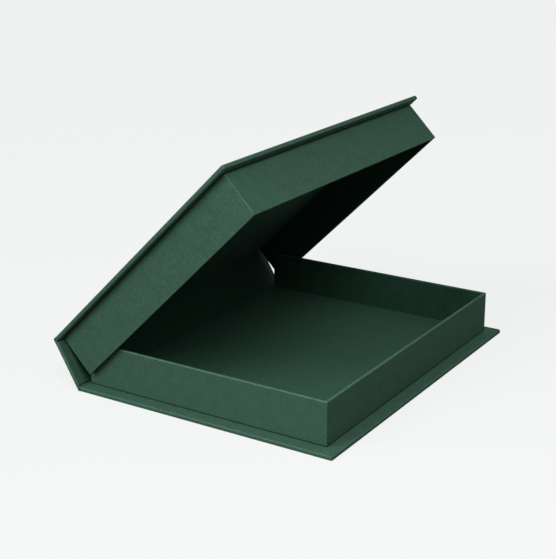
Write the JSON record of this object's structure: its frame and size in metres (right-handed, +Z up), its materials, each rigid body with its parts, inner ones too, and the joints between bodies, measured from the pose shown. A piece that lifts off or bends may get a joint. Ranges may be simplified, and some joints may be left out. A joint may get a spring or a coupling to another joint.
{
  "type": "clamshell box",
  "caption": "Cloth-covered drop-spine box for flat papers: a lid tray and a base tray on a hinged case that closes like a book.",
  "frame": {"origin": "middle of the base board's underside", "axes": "+Z up, +Y along the spine from tail to head, +X from the spine to the fore edge"},
  "size_m": [0.2757, 0.317, 0.2178],
  "materials": {
    "case_cloth": "fine matte book cloth, dark green",
    "tray_cloth": "fine matte book cloth, dark green",
    "lining_cloth": "fine matte book cloth, dark green"
  },
  "bodies": {
    "base": {"base_board": "case_cloth", "base_tray_floor": "lining_cloth", "base_tray_tail_wall": "tray_cloth", "base_tray_head_wall": "tray_cloth", "base_tray_fore_wall": "tray_cloth"},
    "spine": {"spine_cloth": "case_cloth", "spine_board": "case_cloth", "spine_liner": "lining_cloth"},
    "lid": {"lid_board": "case_cloth", "lid_tray_panel": "lining_cloth", "lid_tray_tail_wall": "tray_cloth", "lid_tray_head_wall": "tray_cloth", "lid_tray_fore_wall": "tray_cloth"}
  },
  "joints": [
    {"name": "spine_hinge", "type": "hinge", "parent": "base", "child": "spine", "pos_m": [-0.126, 0, 0], "axis": [0, -1, 0], "range_deg": [-30.5, 59.5]},
    {"name": "lid_hinge", "type": "hinge", "parent": "spine", "child": "lid", "pos_m": [-0.15097, 0, 0.04239], "axis": [0, -1, 0], "range_deg": [-14, 76]}
  ]
}
